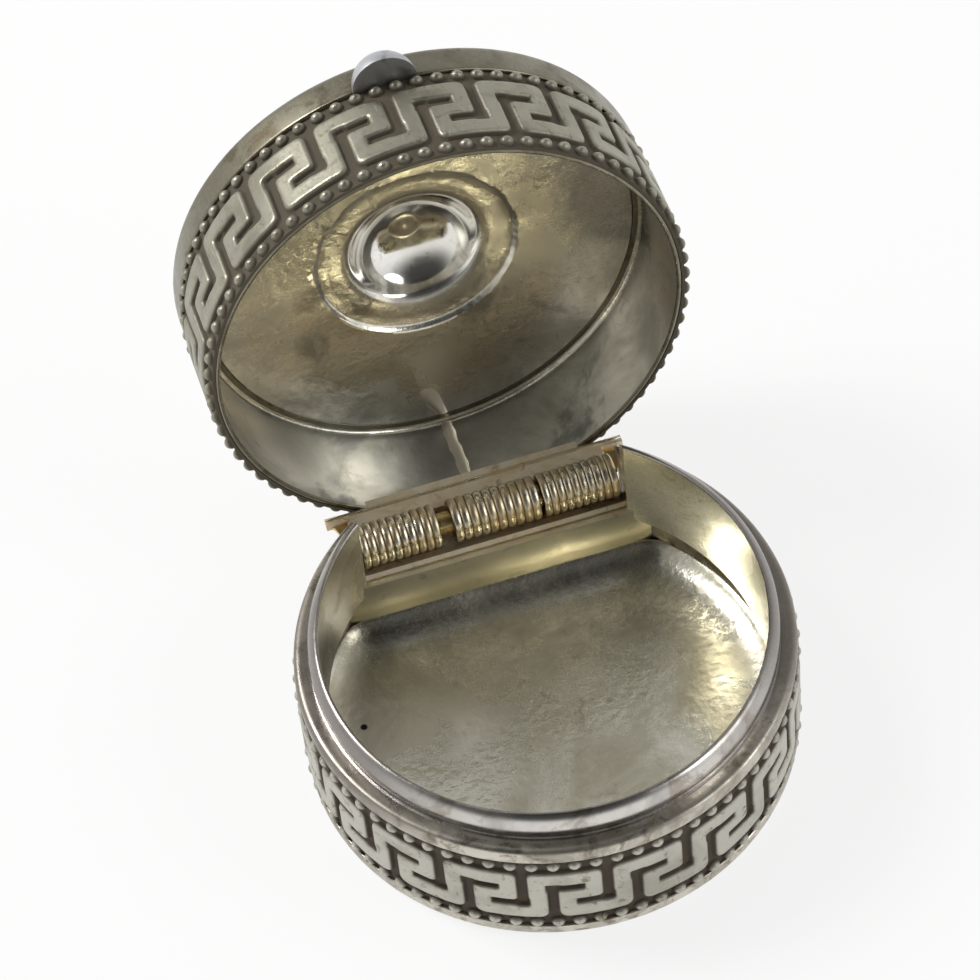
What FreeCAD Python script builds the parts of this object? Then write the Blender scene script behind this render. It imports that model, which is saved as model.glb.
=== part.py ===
"""Small round hinged box with a key-pattern band on base and lid. Lengths in mm, angles in degrees."""
import math
import os

import FreeCAD
import Part
from FreeCAD import Vector

# Overall sizes
box_radius = 15.0            # over the crests of the beads
base_height = 8.8            # underside to the ledge that the lid sits on
open_angle = 96.2            # lid swing from shut to its stop
seat_gap = 0.05              # lid lip above the ledge when shut
overrun = 1.0                # how far a cutting shape runs past what it cuts

# Ornamental strip, the same on base and lid
strip_gauge = 0.2            # sheet behind the pattern
key_rise = 0.35
key_margin = 0.3             # plain sheet between the keys and a bead wire
key_floor_lift = 0.04        # floor of the key channels above the sheet
facets_round = 56            # flats that stand in for the round of the strips and of the lid
facets_per_key = 3           # the flats left over are a plain join behind
base_key_turn = -100.3       # middle of the front key, from +X
lid_key_turn = -99.2
bead_rise = 0.5
bead_width = 0.8

# Base
wall_gauge = 0.5
foot_rim_height = 0.95
ledge_gauge = 1.05
rim_proud = 0.45             # plain rims beyond the wall
floor_gauge = 0.6
pan_rim_gauge = 0.45
pan_rim_height = 1.5         # above the underside

# Neck sleeve
sleeve_gauge = 0.7
sleeve_foot = 3.7            # lower edge above the underside
neck_rise = 1.95             # above the ledge
neck_clearance = 0.2         # neck to lid wall
neck_foot_inset = 0.18       # neck's foot inside the wall

# Lid
lid_wall_gauge = 0.3
lid_rim_height = 2.25
bezel_width = 1.35           # rim's top face, inwards from the outside
top_gauge = 0.45             # sheet of the stamped top
ring_radius = 6.2            # stamped ring inside the lid
ring_rise = 1.0              # above the inside edge of the top
ring_step = 0.25
boss_radius = 4.0
boss_rise = 1.35
crown_rise = 3.4             # middle of the boss
plaque_gauge = 0.8
plaque_rise = 4.4            # crown of the plaque above its seat
dome_bands = 5               # flat bands from the plaque's edge to its crown
dome_turn = 82.0             # where the dome's round ends in a small flat
bezel_clearance = 0.05       # top and plaque to the rim round them
thumb_radius = 1.9
thumb_inset = 0.3            # middle of the thumbpiece inside the rim's face
thumb_offset = -0.4          # middle of the thumbpiece to the side

# Hinge
hinge_share = 0.8113         # axis from the box's middle over the box's radius
hinge_drop = 3.05            # axis below the ledge
barrel_radius = 1.38
barrel_share = 0.54          # length of the barrel over the width of the box
barrel_sides = 10            # flats that stand in for the round of the ribs
rib_pitch = 0.52
rib_depth = 0.13
pin_radius = 0.7
pin_clearance = 0.05
middle_start_share = -0.284  # left end of the middle knuckle over half the barrel
middle_end_share = 0.389     # right end, the same way
left_knuckle_gap = 0.85      # where the bare pin shows
right_knuckle_gap = 0.2
saddle_width = 1.1
notch_clearance = 0.15       # barrel ends to the sides of the notch
trough_clearance = 0.36      # barrel to trough
trough_gauge = 0.3
trough_half_angle = 57.0     # each side of straight down
back_wall_gauge = 0.3
back_wall_groove = 0.25      # between the back wall's lip and the trough
back_wall_lip = 0.1          # back wall's top below the trough's edge
leaf_gauge = 0.5
leaf_offset = 0.1            # leaf's inner face behind the axis
leaf_clearance = 0.12        # leaf to the fixed knuckles
leaf_end_gap = 0.05          # leaf ends to the barrel ends
ear_share = 0.63             # reach of the leaf's ears over the box's radius
ear_height = 0.55
stop_gap = 0.06              # leaf to its stop when the lid is open

# Places worked out from the sizes
strip_floor_r = box_radius - bead_rise
key_r = strip_floor_r + key_rise
wall_r = strip_floor_r - strip_gauge
wall_bore_r = wall_r - wall_gauge
rim_r = wall_r + rim_proud
strip_foot = foot_rim_height
ledge_foot = base_height - ledge_gauge
strip_height = ledge_foot - strip_foot
keys_in_strip = facets_round // facets_per_key
key_turn_step = 360 * facets_per_key / facets_round
key_height = strip_height - 2 * (bead_width + key_margin)
sleeve_bore_r = wall_bore_r - sleeve_gauge
neck_top = base_height + neck_rise
lid_bore_r = wall_r - lid_wall_gauge
neck_r = lid_bore_r - neck_clearance
lid_foot = base_height + seat_gap
lid_wall_top = lid_foot + strip_height
lid_rim_top = lid_wall_top + lid_rim_height
bezel_r = rim_r - bezel_width
hinge_y = box_radius * hinge_share
hinge_z = base_height - hinge_drop
axis_point = Vector(0, hinge_y, hinge_z)
barrel_half = box_radius * barrel_share
middle_knuckle_start = barrel_half * middle_start_share
middle_knuckle_end = barrel_half * middle_end_share
middle_knuckle_length = middle_knuckle_end - middle_knuckle_start
notch_half = barrel_half + notch_clearance
trough_bore_r = barrel_radius + trough_clearance
trough_r = trough_bore_r + trough_gauge
trough_edge_z = hinge_z - trough_bore_r * math.cos(math.radians(trough_half_angle))
trough_front_y = hinge_y - trough_r * math.sin(math.radians(trough_half_angle))
back_wall_y = trough_front_y - back_wall_groove - back_wall_gauge
back_wall_top = trough_edge_z - back_wall_lip
leaf_front = hinge_y + leaf_offset
leaf_back = leaf_front + leaf_gauge
leaf_foot = hinge_z + barrel_radius + leaf_clearance
leaf_half = barrel_half - leaf_end_gap
ear_half = box_radius * ear_share
leaf_depth = leaf_offset + leaf_gauge

up = Vector(0, 0, 1)
across = Vector(1, 0, 0)
origin = Vector(0, 0, 0)


def closed_wire(points):
    """Straight-sided closed wire."""
    return Part.makePolygon(points + [points[0]])


def turned(profile):
    """Solid of revolution about Z from (radius, height) pairs."""
    face = Part.Face(closed_wire([Vector(r, 0, z) for r, z in profile]))
    return face.revolve(origin, up, 360)


def ringed(rings):
    """Solid with flat facets through rings of points."""
    faces = [Part.Face(closed_wire(rings[0])), Part.Face(closed_wire(rings[-1]))]
    for low, high in zip(rings, rings[1:]):
        for i in range(len(low)):
            faces.append(Part.Face(closed_wire([low[i - 1], low[i], high[i], high[i - 1]])))
    return Part.Solid(Part.Shell(faces))


def drawn_across(profile, half_length):
    """Solid with a (y, z) section, drawn along the hinge axis."""
    face = Part.Face(closed_wire([Vector(-half_length, y, z) for y, z in profile]))
    return face.extrude(Vector(2 * half_length, 0, 0))


def disc(radius, foot, top):
    """Upright cylinder about the box's axis."""
    return Part.makeCylinder(radius, top - foot, Vector(0, 0, foot))


def rod(radius, start, length):
    """Cylinder about the hinge axis."""
    return Part.makeCylinder(radius, length, Vector(start, hinge_y, hinge_z), across)


def back_block(half_width, front, foot, top):
    """Block behind a given depth, used to cut the back of the box."""
    depth = box_radius + overrun - front
    return Part.makeBox(2 * half_width, depth, top - foot, Vector(-half_width, front, foot))


def stop_height():
    """Height of the wall behind the hinge that stops the open lid's leaf."""
    turn = math.radians(open_angle)
    reach = (wall_r - hinge_y - leaf_depth * math.cos(turn)) / math.sin(turn)
    return hinge_z - leaf_depth * math.sin(turn) + reach * math.cos(turn) - stop_gap


def faceted(profile, turn):
    """Many-sided solid through (radius, height) pairs; its flats start at a key's middle."""
    step = 2 * math.pi / facets_round
    turns = [math.radians(turn) + step * i for i in range(facets_round)]
    rings = []
    for radius, height in profile:
        corner = radius / math.cos(step / 2)
        rings.append([Vector(corner * math.cos(t), corner * math.sin(t), height) for t in turns])
    return ringed(rings)


def faceted_tube(bore, radius, foot, top):
    """Many-sided tube of the lid."""
    hole = faceted([(bore, foot - overrun), (bore, top + overrun)], lid_key_turn)
    return faceted([(radius, foot), (radius, top)], lid_key_turn).cut(hole)


# One channel of the key, in shares of the pitch and of the height from the middle of a key
channel_shares = [(-0.39, -0.56), (-0.19, -0.56), (-0.26, -0.41), (-0.26, 0.10), (0.05, 0.10), (0.05, 0.23),
                  (-0.39, 0.23)]


def key_channels(middle, turn):
    """The two hooked channels of every key; the second is the first turned half round."""
    pitch = key_r * math.radians(key_turn_step)
    floor_r = strip_floor_r + key_floor_lift
    channels = []
    for side in (1, -1):
        places = [Vector(floor_r, side * u * pitch, middle + side * v * key_height)
                  for u, v in channel_shares]
        channel = Part.Face(closed_wire(places)).extrude(Vector(box_radius - floor_r + overrun, 0, 0))
        channels.append(channel)
    cuts = []
    for i in range(keys_in_strip):
        for channel in channels:
            cut = channel.copy()
            cut.rotate(origin, up, turn + key_turn_step * (i + 1 - keys_in_strip // 2))
            cuts.append(cut)
    return cuts


def strip(foot, turn):
    """Ornamental strip: key pattern between two raised bead wires."""
    middle = foot + strip_height / 2
    top = foot + strip_height
    crest = bead_width / 2
    low_wire = [(strip_floor_r, foot), (box_radius, foot + crest), (strip_floor_r, foot + bead_width)]
    high_wire = [(strip_floor_r, top - bead_width), (box_radius, top - crest), (strip_floor_r, top)]
    key_band = faceted([(key_r, middle - key_height / 2), (key_r, middle + key_height / 2)], turn)
    body = faceted(low_wire + high_wire, turn).fuse(key_band)
    body = body.cut(faceted([(wall_r, foot - overrun), (wall_r, top + overrun)], turn))
    return body.cut(key_channels(middle, turn)).removeSplitter()


def base_wall():
    """Outer wall with its plain foot rim and the ledge, notched and scalloped behind for the hinge."""
    body = turned([(wall_bore_r, 0), (rim_r, 0), (rim_r, foot_rim_height), (wall_r, foot_rim_height),
                   (wall_r, ledge_foot), (rim_r, ledge_foot), (rim_r, base_height),
                   (wall_bore_r, base_height)])
    body = body.cut(back_block(notch_half, 0, stop_height(), base_height + overrun))
    return body.cut(rod(trough_bore_r, -notch_half, 2 * notch_half))


def base_strip():
    """Strip on the base, ending square at the sides of the hinge notch."""
    side = 2 * box_radius
    half = math.asin(notch_half / wall_r)
    gap = [origin, Vector(side * math.sin(half), side * math.cos(half), 0),
           Vector(-side * math.sin(half), side * math.cos(half), 0)]
    wedge = Part.Face(closed_wire(gap)).extrude(Vector(0, 0, base_height))
    return strip(strip_foot, base_key_turn).cut(wedge)


# Outside of the neck, in shares of its swell and of its rise
neck_shares = [(0.0, 0.0), (1.0, 0.35), (0.85, 0.75)]


def neck_sleeve():
    """Sleeve inside the wall, rising above the ledge as a swelling neck, open at the hinge."""
    foot_r = wall_bore_r - neck_foot_inset
    swell = [(foot_r + (neck_r - foot_r) * u, base_height + neck_rise * v) for u, v in neck_shares]
    lip = (sleeve_bore_r + (foot_r - sleeve_bore_r) / 2, neck_top)
    body = turned([(sleeve_bore_r, sleeve_foot), (wall_bore_r, sleeve_foot), (wall_bore_r, base_height)]
                  + swell + [lip, (sleeve_bore_r, neck_top)])
    return body.cut(back_block(notch_half, 0, 0, neck_top + overrun))


def floor_pan():
    """Floor with a rim turned up along the wall and along the straight back."""
    inner_r = wall_bore_r - pan_rim_gauge
    rim = disc(wall_bore_r, 0, pan_rim_height)
    rim = rim.cut(back_block(box_radius, back_wall_y, floor_gauge, pan_rim_height + overrun))
    hollow = disc(inner_r, floor_gauge, pan_rim_height + overrun)
    hollow = hollow.cut(back_block(box_radius, back_wall_y - pan_rim_gauge, 0, pan_rim_height + overrun))
    return rim.cut(hollow)


def back_wall(sleeve):
    """Straight wall across the back of the hollow, stepped behind to carry the trough."""
    step_y = back_wall_y + back_wall_gauge
    rest_y = trough_front_y + trough_gauge
    section = [(back_wall_y, floor_gauge), (rest_y, floor_gauge), (rest_y, trough_edge_z),
               (step_y, trough_edge_z), (step_y, back_wall_top), (back_wall_y, back_wall_top)]
    body = drawn_across(section, box_radius).common(disc(wall_bore_r, 0, base_height))
    groove = Part.makeBox(2 * box_radius, back_wall_groove + trough_r, trough_r,
                          Vector(-box_radius, step_y, trough_edge_z - trough_gauge))
    return body.cut(groove).cut(rod(trough_r, -box_radius, 2 * box_radius)).cut(sleeve)


def hinge_trough():
    """Gutter under the barrel, from the back wall to the outer wall."""
    half = math.radians(trough_half_angle)

    def arc_points(radius):
        """Ends and middle of the gutter's arc."""
        return [Vector(-notch_half, hinge_y + radius * math.sin(t), hinge_z - radius * math.cos(t))
                for t in (-half, 0, half)]

    outer = arc_points(trough_r)
    inner = arc_points(trough_bore_r)
    edges = [Part.Arc(*outer).toShape(), Part.makeLine(outer[-1], inner[-1]),
             Part.Arc(*inner).toShape(), Part.makeLine(inner[0], outer[0])]
    gutter = Part.Face(Part.Wire(Part.__sortEdges__(edges))).extrude(Vector(2 * notch_half, 0, 0))
    return gutter.common(disc(wall_bore_r, 0, base_height))


def ribbed_barrel(start, length):
    """Length of barrel with ribs, solid inside."""
    count = round(length / rib_pitch)
    step = length / count
    turns = [2 * math.pi * i / barrel_sides for i in range(barrel_sides)]

    def ring(x, radius):
        """Many-sided ring about the axis."""
        return [Vector(x, hinge_y + radius * math.sin(t), hinge_z + radius * math.cos(t)) for t in turns]

    groove_r = barrel_radius - rib_depth
    rings = [ring(start, groove_r)]
    for i in range(count):
        rings.append(ring(start + step * (i + 0.5), barrel_radius))
        rings.append(ring(start + step * (i + 1), groove_r))
    return ringed(rings)


def base_knuckle(start, length):
    """Fixed knuckle on its saddle in the trough, tight on the pin."""
    saddle = Part.makeBox(length, saddle_width, trough_bore_r,
                          Vector(start, hinge_y - saddle_width / 2, hinge_z - trough_bore_r))
    saddle = saddle.common(rod(trough_bore_r, start, length))
    bore = rod(pin_radius, start - overrun, length + 2 * overrun)
    return ribbed_barrel(start, length).fuse(saddle).cut(bore)


def lid_knuckle():
    """Middle knuckle, turning on the pin."""
    body = ribbed_barrel(middle_knuckle_start, middle_knuckle_length)
    return body.cut(rod(pin_radius + pin_clearance, middle_knuckle_start - overrun,
                        middle_knuckle_length + 2 * overrun))


def lid_hinge_leaf():
    """Leaf across the back of the lid's mouth, with ears, a flange in the lid and a tongue to the knuckle."""
    web = Part.makeBox(2 * leaf_half, leaf_gauge, lid_foot - leaf_foot,
                       Vector(-leaf_half, leaf_front, leaf_foot))
    ears = Part.makeBox(2 * ear_half, leaf_gauge, ear_height,
                        Vector(-ear_half, leaf_front, lid_foot - ear_height))
    ledge = disc(rim_r + leaf_clearance, 0, lid_foot).cut(back_block(notch_half, 0, 0, lid_foot))
    ears = ears.cut(ledge)
    flange = disc(lid_bore_r, lid_foot, lid_foot + leaf_gauge)
    flange = flange.common(back_block(box_radius, leaf_front, 0, lid_rim_top))
    tongue = Part.makeBox(middle_knuckle_length, leaf_gauge, leaf_foot - hinge_z,
                          Vector(middle_knuckle_start, leaf_front, hinge_z))
    tongue = tongue.cut(rod(barrel_radius, -box_radius, 2 * box_radius))
    return web.fuse([ears, flange, tongue]).removeSplitter()


def lid_wall():
    """Plain wall of the lid, behind its strip."""
    return faceted_tube(lid_bore_r, wall_r, lid_foot, lid_wall_top)


def lid_rim():
    """Plain rim round the top, holding the stamped top and the plaque."""
    return faceted_tube(bezel_r, rim_r, lid_wall_top, lid_rim_top)


# The boss's crown and the hollow under the plaque, in shares of the radius and of the rise
crown_shares = [(1.0, 0.0), (0.75, 0.65), (0.2, 1.0)]
hollow_shares = [(1.0, 0.0), (0.65, 0.65), (0.25, 1.0)]


def lid_top():
    """Stamped top: a dished sheet with a stepped ring and a hollow boss in the middle."""
    edge_r = bezel_r - bezel_clearance
    crown = [(boss_radius * u, boss_rise + (crown_rise - boss_rise) * v) for u, v in crown_shares]
    step = [(ring_radius, ring_rise - ring_step), (ring_radius - ring_step, ring_rise)]
    inside = [(edge_r - top_gauge, 0)] + step + crown
    outside = [(edge_r, 0), (edge_r, top_gauge), (edge_r - plaque_gauge, top_gauge),
               (ring_radius, ring_rise + top_gauge)]
    outside += [(r + top_gauge / 2, rise + top_gauge) for r, rise in crown]
    sheet, hollow = (faceted([(r, lid_wall_top + rise) for r, rise in side], lid_key_turn)
                     for side in (outside, inside))
    return sheet.cut(hollow)


def lid_plaque():
    """Plain domed plaque set in the rim."""
    edge_r = bezel_r - bezel_clearance
    seat = lid_wall_top + top_gauge
    rise = plaque_rise - plaque_gauge
    turns = [math.radians(dome_turn) * i / dome_bands for i in range(dome_bands + 1)]
    dome = [(edge_r * math.cos(t), seat + plaque_gauge + rise * math.sin(t)) for t in turns]
    outside = [(edge_r, seat)] + dome
    inside = [((edge_r - plaque_gauge) * u, seat + rise * v) for u, v in hollow_shares]
    return faceted(outside, lid_key_turn).cut(faceted(inside, lid_key_turn))


def thumbpiece():
    """Half-dome at the front of the rim, flat below."""
    ball = Part.makeSphere(thumb_radius, Vector(thumb_offset, thumb_inset - rim_r, lid_wall_top))
    ball = ball.common(Part.makeBox(4 * thumb_radius, 4 * thumb_radius, thumb_radius,
                                    Vector(-2 * thumb_radius, -rim_r - 2 * thumb_radius, lid_wall_top)))
    return ball.cut(faceted([(rim_r, 0), (rim_r, lid_rim_top + overrun)], lid_key_turn))


def build():
    """Every node by name, with the lid swung open to its stop."""
    left_length = middle_knuckle_start - left_knuckle_gap + barrel_half
    right_start = middle_knuckle_end + right_knuckle_gap
    sleeve = neck_sleeve()
    fixed = {
        "base_wall": base_wall(),
        "base_strip": base_strip(),
        "neck_sleeve": sleeve,
        "floor_pan": floor_pan(),
        "back_wall": back_wall(sleeve),
        "hinge_trough": hinge_trough(),
        "base_knuckle_left": base_knuckle(-barrel_half, left_length),
        "base_knuckle_right": base_knuckle(right_start, barrel_half - right_start),
        "hinge_pin": rod(pin_radius, -barrel_half, 2 * barrel_half),
    }
    moving = {
        "lid_wall": lid_wall(),
        "lid_strip": strip(lid_foot, lid_key_turn),
        "lid_rim": lid_rim(),
        "lid_top": lid_top(),
        "lid_plaque": lid_plaque(),
        "thumbpiece": thumbpiece(),
        "lid_hinge_leaf": lid_hinge_leaf(),
        "lid_knuckle": lid_knuckle(),
    }
    for shape in moving.values():
        shape.rotate(axis_point, across, -open_angle)
    return {**fixed, **moving}


os.makedirs("parts", exist_ok=True)
for name, shape in build().items():
    shape.exportStep(f"parts/{name}.step")
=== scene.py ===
"""Looks of a small round hinged box: worked strips, ribbed hinge, worn silver and a plain enamel plaque."""
import math

import bmesh
import bpy
import numpy as np
from mathutils import Matrix, Vector


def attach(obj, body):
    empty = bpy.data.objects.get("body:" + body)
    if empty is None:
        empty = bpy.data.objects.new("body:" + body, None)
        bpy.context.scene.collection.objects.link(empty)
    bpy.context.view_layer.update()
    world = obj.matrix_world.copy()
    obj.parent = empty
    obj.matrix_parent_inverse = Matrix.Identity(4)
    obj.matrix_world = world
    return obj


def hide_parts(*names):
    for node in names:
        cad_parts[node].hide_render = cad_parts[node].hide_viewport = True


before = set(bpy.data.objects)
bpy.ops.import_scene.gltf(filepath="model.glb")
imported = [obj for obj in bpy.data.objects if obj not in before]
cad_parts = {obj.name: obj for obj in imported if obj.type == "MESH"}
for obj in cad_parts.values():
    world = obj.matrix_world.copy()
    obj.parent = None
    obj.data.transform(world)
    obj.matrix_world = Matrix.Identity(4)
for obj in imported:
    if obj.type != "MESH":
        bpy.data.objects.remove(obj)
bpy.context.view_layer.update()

# Sizes in mm, as in the CAD
MM = 0.001
STRIP_FLOOR_R = 14.5
WALL_R = 14.3
WALL_BORE_R = 13.8
RIM_R = 14.75
BASE_HEIGHT = 8.8
LEDGE_FOOT = 7.75
STOP_HEIGHT = 4.855
STRIP_FOOT = 0.95
STRIP_HEIGHT = 6.8
KEY_HEIGHT = 4.6
KEY_RISE = 0.35
KEYS_IN_STRIP = 18
KEY_STEP = math.radians(360 * 3 / 56)
BASE_KEY, LID_KEY = math.radians(-100.3), math.radians(-99.2)
BEADS_PER_KEY = 4
SLEEVE_BORE_R = 13.1
SLEEVE_FOOT = 3.7
NECK_TOP = 10.75
LID_BORE_R = 14.0
LID_FOOT = 8.85
LID_WALL_TOP = 15.65
LID_RIM_TOP = 17.9
BEZEL_R = 13.4
HINGE_Y, HINGE_Z = 12.17, 5.75
BARREL_R = 1.38
BARREL_HALF = 8.1
KNUCKLE_BORE_R = 0.73
NOTCH_HALF = 8.25
BACK_WALL_Y = 9.91
LID_TOP_R = 13.34
LID_TOP_GAUGE = 0.45
OPEN_ANGLE = math.radians(96.2)

# Finer sizes in mm, shares and counts, of the looks alone
SIDE_SHARE = 0.48
CHANNEL_EASE, CORNER_EASE = 0.3, 0.6
BAR_EDGE_START, BAR_EDGE_WIDTH = 0.05, 0.24
BEAD_RISE, BEAD_SUNK, BEAD_HALF_LENGTH, BEAD_HALF_HEIGHT, BEAD_INSET = 0.46, 0.03, 0.45, 0.38, 0.4
STEPS_PER_KEY = 48
RIBS = 10
RIB_RISE = 0.15
SCALLOP_R = 1.74
PAN_MIDDLE = np.array([0.0, -1.5])
PAN_STEPS = 160
PAN_CORNER_EASE = 0.7
PAN_UNDERLAP = 0.56
BOSS_FINISH_R = 4.2
RING_R, RING_EDGE = 6.25, 0.22
THUMB_R, THUMB_RISE, THUMB_PLINTH, THUMB_X, THUMB_SUNK = 1.95, 1.8, 0.12, -0.4, 0.2
LEAF_HALF = 9.42
LIP_Y, LIP_DROP, LIP_R = 12.3, 0.2, 0.15
WEB_NEAR_Y, WEB_FAR_Y = 12.56, 12.8


# Shapes: each is a dict of points in mm, faces, the finish of each face and the relief of each point

def shape(points, faces, finish=0, relief=None):
    """One shape from points and faces."""
    points = np.asarray(points, float).reshape(-1, 3)
    marks = [finish] * len(faces) if isinstance(finish, int) else list(finish)
    relief = np.ones(len(points)) if relief is None else np.asarray(relief, float).ravel()
    return {"points": points, "faces": [list(f) for f in faces], "finish": marks, "relief": relief}


def joined(shapes):
    """Several shapes as one."""
    points, faces, marks, relief, count = [], [], [], [], 0
    for s in shapes:
        points.append(s["points"])
        faces += [[i + count for i in f] for f in s["faces"]]
        marks += s["finish"]
        relief.append(s["relief"])
        count += len(s["points"])
    return {"points": np.vstack(points), "faces": faces, "finish": marks, "relief": np.hstack(relief)}


def opened(s):
    """A shape of the shut lid swung to the open lid's place."""
    c, n = math.cos(-OPEN_ANGLE), math.sin(-OPEN_ANGLE)
    p = s["points"]
    y, z = p[:, 1] - HINGE_Y, p[:, 2] - HINGE_Z
    s["points"] = np.column_stack([p[:, 0], HINGE_Y + y * c - z * n, HINGE_Z + y * n + z * c])
    return s


def rounded(outline, steps=4):
    """Closed outline from (radius, height, fillet) corners."""
    places = []
    for i, (r, z, fillet) in enumerate(outline):
        here = np.array([r, z])
        if not fillet:
            places.append(here)
            continue
        to_last = np.array(outline[i - 1][:2]) - here
        to_next = np.array(outline[(i + 1) % len(outline)][:2]) - here
        reach = [min(fillet, SIDE_SHARE * np.linalg.norm(d)) for d in (to_last, to_next)]
        start = here + to_last / np.linalg.norm(to_last) * reach[0]
        end = here + to_next / np.linalg.norm(to_next) * reach[1]
        for k in range(steps + 1):
            t = k / steps
            places.append((1 - t) ** 2 * start + 2 * t * (1 - t) * here + t * t * end)
    return np.array(places)


def turned(outline, steps=180, notch=None, finish=None, end_finish=0):
    """Closed (radius, height) outline turned about the box's axis; a notch leaves the back open."""
    outline = np.asarray(outline, float)
    radius, height = outline.T
    n = len(outline)
    columns = []
    for j in range(steps if notch is None else steps + 1):
        if notch is None:
            turn = np.full(n, 2 * math.pi * j / steps)
        else:
            side = np.arccos(notch / radius)
            turn = side - (math.pi + 2 * side) * j / steps
        columns.append(np.column_stack([radius * np.cos(turn), radius * np.sin(turn), height]))
    faces, marks = [], []
    for j in range(steps):
        k = (j + 1) % len(columns)
        for i in range(n):
            m = (i + 1) % n
            faces.append([j * n + i, k * n + i, k * n + m, j * n + m])
            marks.append(finish(outline[i], outline[m]) if finish else 0)
    if notch is not None:
        faces += [list(range(n)), [steps * n + i for i in range(n)][::-1]]
        marks += [end_finish, end_finish]
    return shape(np.vstack(columns), faces, marks)


def rings(levels, closed_end=False):
    """Skin over rings of points with the same count; the last ring may close on its middle."""
    n = len(levels[0])
    points = np.vstack(levels)
    faces = []
    for k in range(len(levels) - 1):
        for i in range(n):
            m = (i + 1) % n
            faces.append([k * n + i, k * n + m, (k + 1) * n + m, (k + 1) * n + i])
    if closed_end:
        points = np.vstack([points, np.mean(levels[-1], axis=0)])
        last = (len(levels) - 1) * n
        faces += [[last + i, last + (i + 1) % n, len(points) - 1] for i in range(n)]
    return shape(points, faces)


def block(low, high):
    """Plain block between two corners."""
    corners = [(x, y, z) for z in (low[2], high[2]) for y in (low[1], high[1]) for x in (low[0], high[0])]
    faces = [(0, 2, 3, 1), (4, 5, 7, 6), (0, 1, 5, 4), (2, 6, 7, 3), (0, 4, 6, 2), (1, 3, 7, 5)]
    return shape(corners, faces)


def add_piece(name, s, body, nodes, finishes, soft_angle=38):
    """Puts a shape in the scene as a piece that rides on a body and stands for CAD nodes."""
    mesh = bpy.data.meshes.new(name)
    mesh.from_pydata((s["points"] * MM).tolist(), [], s["faces"])
    mesh.polygons.foreach_set("material_index", s["finish"])
    mesh.attributes.new("relief", "FLOAT", "POINT").data.foreach_set("value", s["relief"])
    build = bmesh.new()
    build.from_mesh(mesh)
    bmesh.ops.recalc_face_normals(build, faces=build.faces)
    build.to_mesh(mesh)
    build.free()
    for finish in finishes:
        mesh.materials.append(finish)
    mesh.shade_smooth()
    mesh.set_sharp_from_angle(angle=math.radians(soft_angle))
    piece = bpy.data.objects.new(name, mesh)
    bpy.context.scene.collection.objects.link(piece)
    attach(piece, body)
    if nodes:
        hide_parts(*nodes)


def dress_node(node, finish, edge):
    """Gives a CAD node its finish and softly worn edges."""
    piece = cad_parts[node]
    piece.data.materials.clear()
    piece.data.materials.append(finish)
    for face in piece.data.polygons:
        face.material_index = 0
    weld = piece.modifiers.new("one skin", "WELD")
    weld.merge_threshold = 0.002 * MM
    worn = piece.modifiers.new("worn edges", "BEVEL")
    worn.width = edge * MM
    worn.segments = 3
    worn.limit_method = "ANGLE"
    worn.angle_limit = math.radians(35)
    worn.use_clamp_overlap = True
    worn.harden_normals = False
    piece.data.shade_smooth()
    flat = piece.modifiers.new("even shading", "WEIGHTED_NORMAL")
    flat.keep_sharp = True


# Worked strip

def box_distance(u, v, box):
    """Distance outside a box given by its two corners; below zero inside."""
    du = np.abs(u - (box[0] + box[2]) / 2) - abs(box[2] - box[0]) / 2
    dv = np.abs(v - (box[1] + box[3]) / 2) - abs(box[3] - box[1]) / 2
    outside = np.hypot(np.maximum(du, 0), np.maximum(dv, 0))
    return outside + np.minimum(np.maximum(du, dv), 0)


def eased_least(a, b, ease):
    """Lesser of two distances, rounded where they meet."""
    near = np.maximum(ease - np.abs(a - b), 0)
    return np.minimum(a, b) - near * near / (4 * ease)


# One channel of the key as boxes, in shares of the pitch and of the key's height from its middle
CHANNEL_SHARES = [(-0.385, -0.70, -0.265, 0.23), (-0.385, 0.105, 0.05, 0.23)]


def key_relief(u, v, pitch):
    """Rise of the key pattern, from 0 in the channels to 1 on the bars; each key has two channels, turned about."""
    away = KEY_HEIGHT / 2 - np.abs(v)
    for side in (1, -1):
        channel = None
        for a, b, c, d in CHANNEL_SHARES:
            box = (side * a * pitch, side * b * KEY_HEIGHT, side * c * pitch, side * d * KEY_HEIGHT)
            here = box_distance(u, v, box)
            channel = here if channel is None else eased_least(channel, here, CHANNEL_EASE)
        away = eased_least(away, channel, CORNER_EASE)
    t = np.clip((away + BAR_EDGE_START) / BAR_EDGE_WIDTH, 0, 1)
    return np.sqrt(1 - (1 - t) ** 2)


def bead(turn, height):
    """One bead of a bead row."""
    around, up = 12, 4
    points, relief = [], []
    for k in range(up + 1):
        lift = math.pi / 2 * k / up
        for i in range(around if k < up else 1):
            a = 2 * math.pi * i / around
            radius = STRIP_FLOOR_R - BEAD_SUNK + BEAD_RISE * math.sin(lift)
            along = turn + BEAD_HALF_LENGTH * math.cos(lift) * math.cos(a) / STRIP_FLOOR_R
            points.append([radius * math.cos(along), radius * math.sin(along),
                           height + BEAD_HALF_HEIGHT * math.cos(lift) * math.sin(a)])
            relief.append(min(1.0, 0.3 + k / up))
    faces = []
    for k in range(up - 1):
        for i in range(around):
            m = (i + 1) % around
            faces.append([k * around + i, k * around + m, (k + 1) * around + m, (k + 1) * around + i])
    last = (up - 1) * around
    faces += [[last + i, last + (i + 1) % around, up * around] for i in range(around)]
    return shape(points, faces, 0, relief)


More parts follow.
